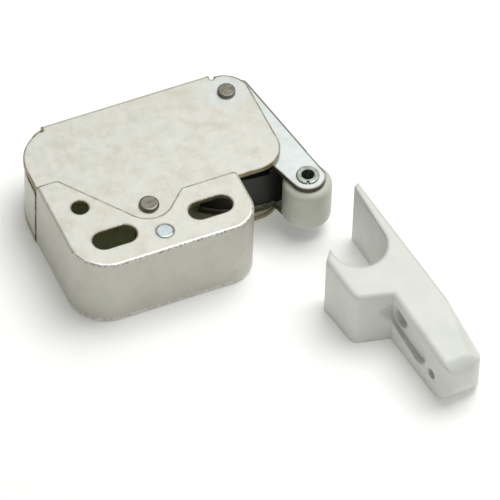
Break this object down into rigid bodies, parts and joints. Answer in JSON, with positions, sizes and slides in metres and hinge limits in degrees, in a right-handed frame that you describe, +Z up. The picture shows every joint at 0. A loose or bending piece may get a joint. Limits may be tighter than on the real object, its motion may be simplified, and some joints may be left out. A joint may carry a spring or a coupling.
{
  "type": "push to open catch",
  "caption": "Sprung push to open latch in folded sheet steel, with a swinging roller arm worked by a cam track, and its separate hooked plastic keeper.",
  "frame": {"origin": "midway between the two mounting slots, on the latch's mounting face", "axes": "+X from the left slot to the right one, +Y towards the back of the latch, +Z up, away from the mounting face"},
  "size_m": [0.0523, 0.0664, 0.0134],
  "materials": {
    "plated_steel": "satin nickel plate",
    "zinc_rivet": "bright zinc plate",
    "dark_rivet": "plain turned steel",
    "roller_nylon": "natural nylon",
    "cam_black": "black moulded acetal",
    "spring_steel": "drawn spring wire",
    "keeper_white": "white moulded nylon"
  },
  "bodies": {
    "latch": {"mounting_case": "plated_steel", "mechanism_housing": "plated_steel", "case_rivet": "zinc_rivet", "case_rivet_spacer": "zinc_rivet", "follower_rivet": "dark_rivet", "follower_sleeve": "dark_rivet", "arm_rivet": "dark_rivet", "arm_sleeve": "dark_rivet", "arm_washer_top": "zinc_rivet", "arm_washer_bottom": "zinc_rivet", "follower_spring": "spring_steel", "return_spring": "spring_steel", "keeper": "keeper_white"},
    "arm": {"roller_arm": "plated_steel", "roller_pin": "zinc_rivet", "cam_block": "cam_black", "cam_block_pin": "dark_rivet"},
    "roller": {"roller": "roller_nylon"},
    "follower": {"cam_follower": "plated_steel"}
  },
  "joints": [
    {"name": "arm_swing", "type": "hinge", "parent": "latch", "child": "arm", "pos_m": [0.0198, 0.02135, 0.0067], "axis": [0, 0, 1], "range_deg": [-17, 0], "stiffness_Nm_per_rad": 0.02, "springref_deg": 20.05, "deforming": ["return_spring"]},
    {"name": "roller_spin", "type": "hinge", "parent": "arm", "child": "roller", "pos_m": [0.02515, 0.00166, 0.0067], "axis": [0, 0, 1], "continuous": true},
    {"name": "follower_swing", "type": "hinge", "parent": "latch", "child": "follower", "pos_m": [-0.0004, 0.0045, 0.0067], "axis": [0, 0, 1], "range_deg": [-3, 0.5]}
  ],
  "couplings": [
    {"joint": "follower_swing", "follows": "arm_swing", "ratio": 0.12}
  ]
}
